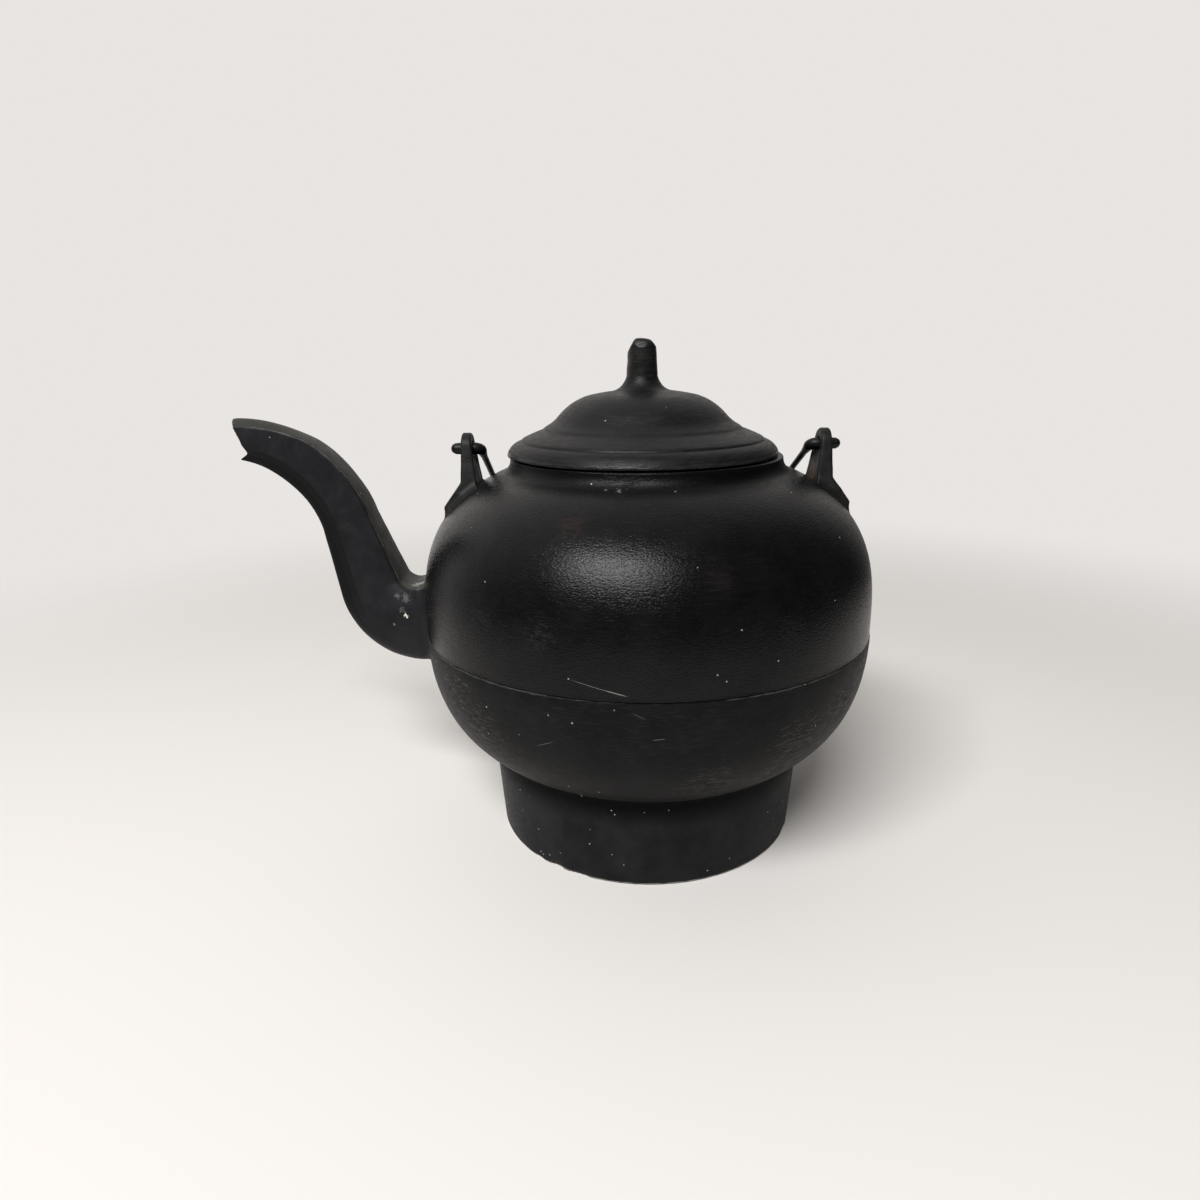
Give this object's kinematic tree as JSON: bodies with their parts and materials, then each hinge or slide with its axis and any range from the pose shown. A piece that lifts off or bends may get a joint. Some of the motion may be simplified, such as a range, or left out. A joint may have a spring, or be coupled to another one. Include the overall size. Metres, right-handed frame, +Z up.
{
  "type": "teapot",
  "caption": "Round cast iron teapot on a tall foot ring, with a gooseneck spout, a stepped domed lid that lifts off and a wire bail that folds down behind it.",
  "frame": {"origin": "centre of the foot ring's lower edge, on the surface that the teapot stands on", "axes": "+Z up along the pot's axis, -X towards the spout, +Y towards the back, where the bail lies folded"},
  "size_m": [0.2798, 0.2052, 0.2211],
  "materials": {
    "upper_iron": "satin black, finely brushed round the belly",
    "lower_iron": "rough sand-cast black, dusty",
    "foot_iron": "smooth black, chipped at the lower edge",
    "spout_iron": "satin black over cast iron, worn at its edges",
    "ear_iron": "satin black, filed edges",
    "bail_wire": "blackened forged wire",
    "lid_iron": "satin black, rubbed bright at its rim"
  },
  "bodies": {
    "pot": {"upper_shell": "upper_iron", "lower_shell": "lower_iron", "foot_ring": "foot_iron", "spout": "spout_iron", "ear_spout_side": "ear_iron", "ear_far_side": "ear_iron"},
    "lid": {"lid": "lid_iron", "lid_knob": "lid_iron"},
    "bail": {"bail": "bail_wire"}
  },
  "joints": [
    {"name": "lid_lift", "type": "slide", "parent": "pot", "child": "lid", "axis": [0, 0, 1], "range_m": [0, 0.08]},
    {"name": "bail_swing", "type": "hinge", "parent": "pot", "child": "bail", "pos_m": [0, 0, 0.17552], "axis": [1, 0, 0], "range_deg": [0, 230.4]}
  ]
}
